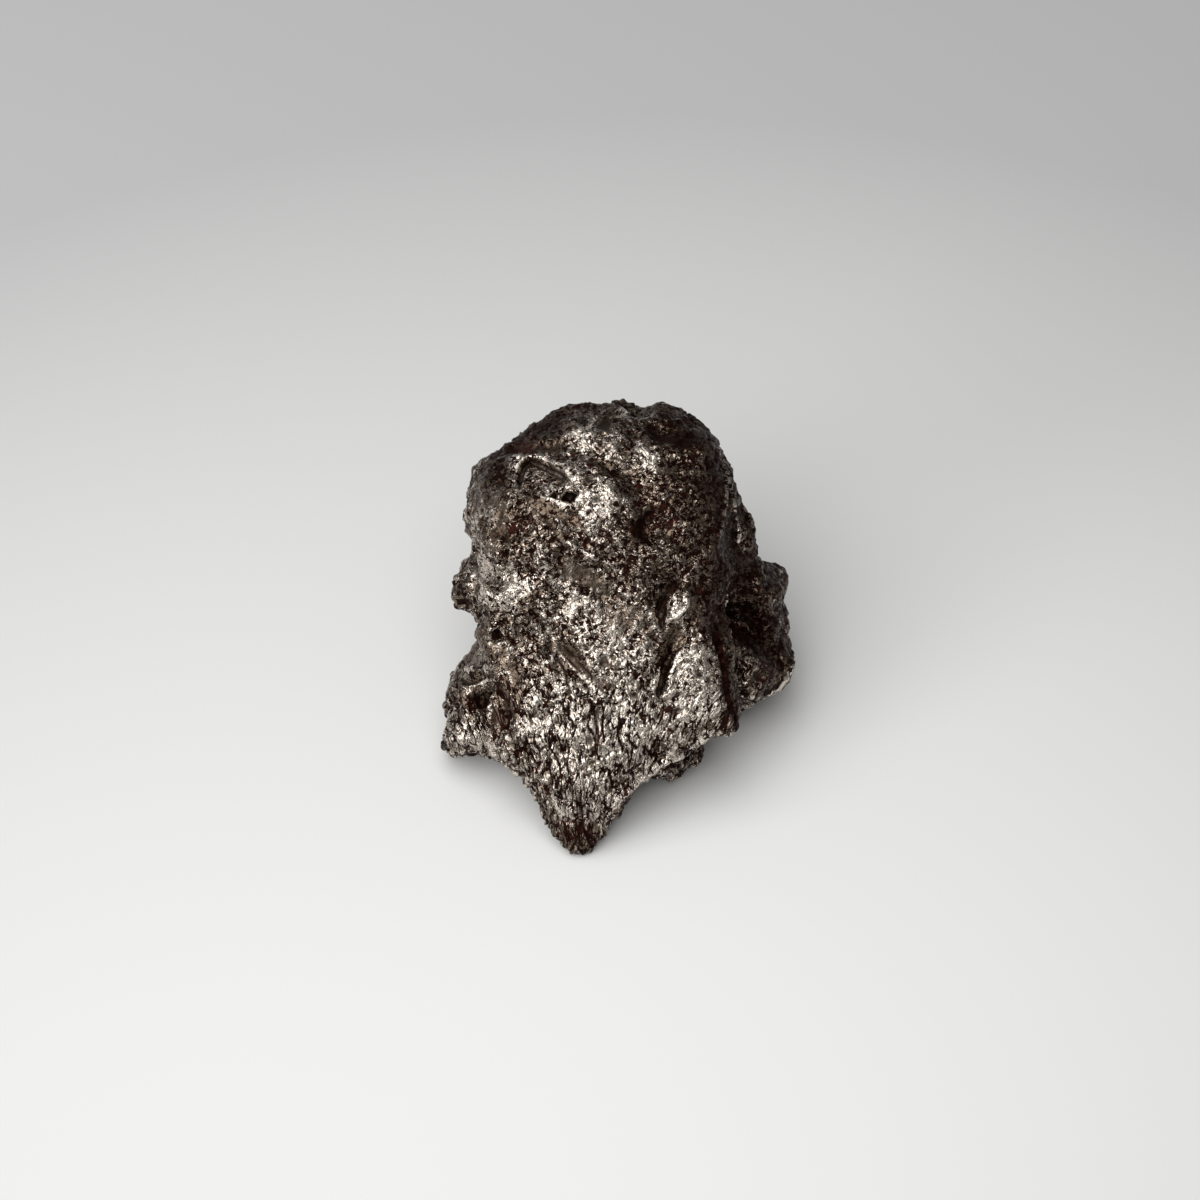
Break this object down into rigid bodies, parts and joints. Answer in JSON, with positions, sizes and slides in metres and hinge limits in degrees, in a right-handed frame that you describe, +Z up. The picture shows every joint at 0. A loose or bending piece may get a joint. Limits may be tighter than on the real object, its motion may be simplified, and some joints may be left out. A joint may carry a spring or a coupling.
{
  "type": "iron meteorite",
  "caption": "Lump of weathered nickel-iron: a rounded head above a tapering shield-like face, side lobes, pits and melted ridges, resting on small worn spots.",
  "frame": {"origin": "on the table plane, under the middle of the lump's bounding box", "axes": "+Z up from the table; -Y towards the viewer, where the narrow tip of the face points; +X to the viewer's right"},
  "size_m": [0.0368, 0.041, 0.0283],
  "materials": {
    "iron": "dark brown-grey metal, glossy on its ridges, with a finely hammered skin and dull reddish rust in the pits and creases"
  },
  "bodies": {
    "root": {"meteorite": "iron"}
  },
  "joints": []
}
